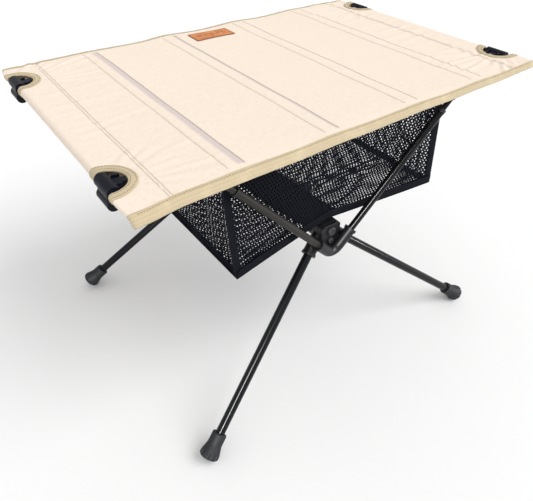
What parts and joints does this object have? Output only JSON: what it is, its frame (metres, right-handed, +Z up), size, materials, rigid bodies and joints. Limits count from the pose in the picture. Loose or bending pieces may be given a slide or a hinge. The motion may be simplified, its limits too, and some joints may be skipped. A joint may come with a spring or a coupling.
{
  "type": "camp kitchen table",
  "caption": "Low folding camp table: a slatted cloth top with corner clips on crossed pole legs and arms, two hubs and a hanging mesh basket.",
  "frame": {"origin": "on the floor, under the middle of the table top", "axes": "+X along the long side of the top, +Y from the front hub to the back hub, +Z up"},
  "size_m": [0.6052, 0.455, 0.4278],
  "materials": {
    "hub_plastic": "moulded satin black",
    "fastener": "black coated round heads",
    "anodised_tube": "black anodised satin tube",
    "shock_cord": "woven elastic cord",
    "foot_rubber": "matt charcoal rubber",
    "top_cloth": "coated light beige woven cloth",
    "binding_tape": "khaki ribbed binding tape",
    "slat": "flat drawn aluminium strip",
    "clip_plastic": "moulded black",
    "label_leather": "orange tan leather",
    "basket_mesh": "black open polyester mesh",
    "basket_webbing": "black woven webbing"
  },
  "bodies": {
    "frame": {"arm_collar_back_left": "anodised_tube", "arm_collar_back_right": "anodised_tube", "arm_collar_front_left": "anodised_tube", "arm_collar_front_right": "anodised_tube", "arm_lower_back_left": "anodised_tube", "arm_lower_back_right": "anodised_tube", "arm_lower_front_left": "anodised_tube", "arm_lower_front_right": "anodised_tube", "arm_upper_back_left": "anodised_tube", "arm_upper_back_right": "anodised_tube", "arm_upper_front_left": "anodised_tube", "arm_upper_front_right": "anodised_tube", "basket_corner_webbing": "basket_webbing", "basket_hem_band": "basket_webbing", "basket_loops": "basket_webbing", "basket_mesh": "basket_mesh", "basket_rim_tape": "basket_webbing", "crossbar": "anodised_tube", "hub_arm_holder_back": "hub_plastic", "hub_arm_holder_front": "hub_plastic", "hub_bolt_back": "fastener", "hub_bolt_front": "fastener", "hub_leg_holder_back": "hub_plastic", "hub_leg_holder_front": "hub_plastic", "hub_screw_back": "fastener", "hub_screw_front": "fastener"},
    "top": {"corner_clip_back_left": "clip_plastic", "corner_clip_back_right": "clip_plastic", "corner_clip_front_left": "clip_plastic", "corner_clip_front_right": "clip_plastic", "cutout_tape_back_left": "binding_tape", "cutout_tape_back_right": "binding_tape", "cutout_tape_front_left": "binding_tape", "cutout_tape_front_right": "binding_tape", "edge_binding_back": "binding_tape", "edge_binding_front": "binding_tape", "end_pole_left": "anodised_tube", "end_pole_right": "anodised_tube", "leather_label": "label_leather", "slat_inner_left": "slat", "slat_inner_right": "slat", "slat_outer_left": "slat", "slat_outer_right": "slat", "top_cloth": "top_cloth"},
    "leg_front_left": {"leg_tube_front_left": "anodised_tube", "leg_shock_cord_front_left": "shock_cord", "foot_front_left": "foot_rubber"},
    "leg_front_right": {"leg_tube_front_right": "anodised_tube", "leg_shock_cord_front_right": "shock_cord", "foot_front_right": "foot_rubber"},
    "leg_back_left": {"leg_tube_back_left": "anodised_tube", "leg_shock_cord_back_left": "shock_cord", "foot_back_left": "foot_rubber"},
    "leg_back_right": {"leg_tube_back_right": "anodised_tube", "leg_shock_cord_back_right": "shock_cord", "foot_back_right": "foot_rubber"}
  },
  "joints": [
    {"name": "top_lift", "type": "slide", "parent": "frame", "child": "top", "axis": [0, 0, 1], "range_m": [0, 0.12]},
    {"name": "leg_pull_front_left", "type": "slide", "parent": "frame", "child": "leg_front_left", "axis": [-0.7426, -0.2604, -0.6171], "range_m": [0, 0.03], "stiffness_N_per_m": 150, "springref_m": -0.03},
    {"name": "leg_pull_front_right", "type": "slide", "parent": "frame", "child": "leg_front_right", "axis": [0.7426, -0.2604, -0.6171], "range_m": [0, 0.03], "stiffness_N_per_m": 150, "springref_m": -0.03},
    {"name": "leg_pull_back_left", "type": "slide", "parent": "frame", "child": "leg_back_left", "axis": [-0.7426, 0.2604, -0.6171], "range_m": [0, 0.03], "stiffness_N_per_m": 150, "springref_m": -0.03},
    {"name": "leg_pull_back_right", "type": "slide", "parent": "frame", "child": "leg_back_right", "axis": [0.7426, 0.2604, -0.6171], "range_m": [0, 0.03], "stiffness_N_per_m": 150, "springref_m": -0.03}
  ]
}
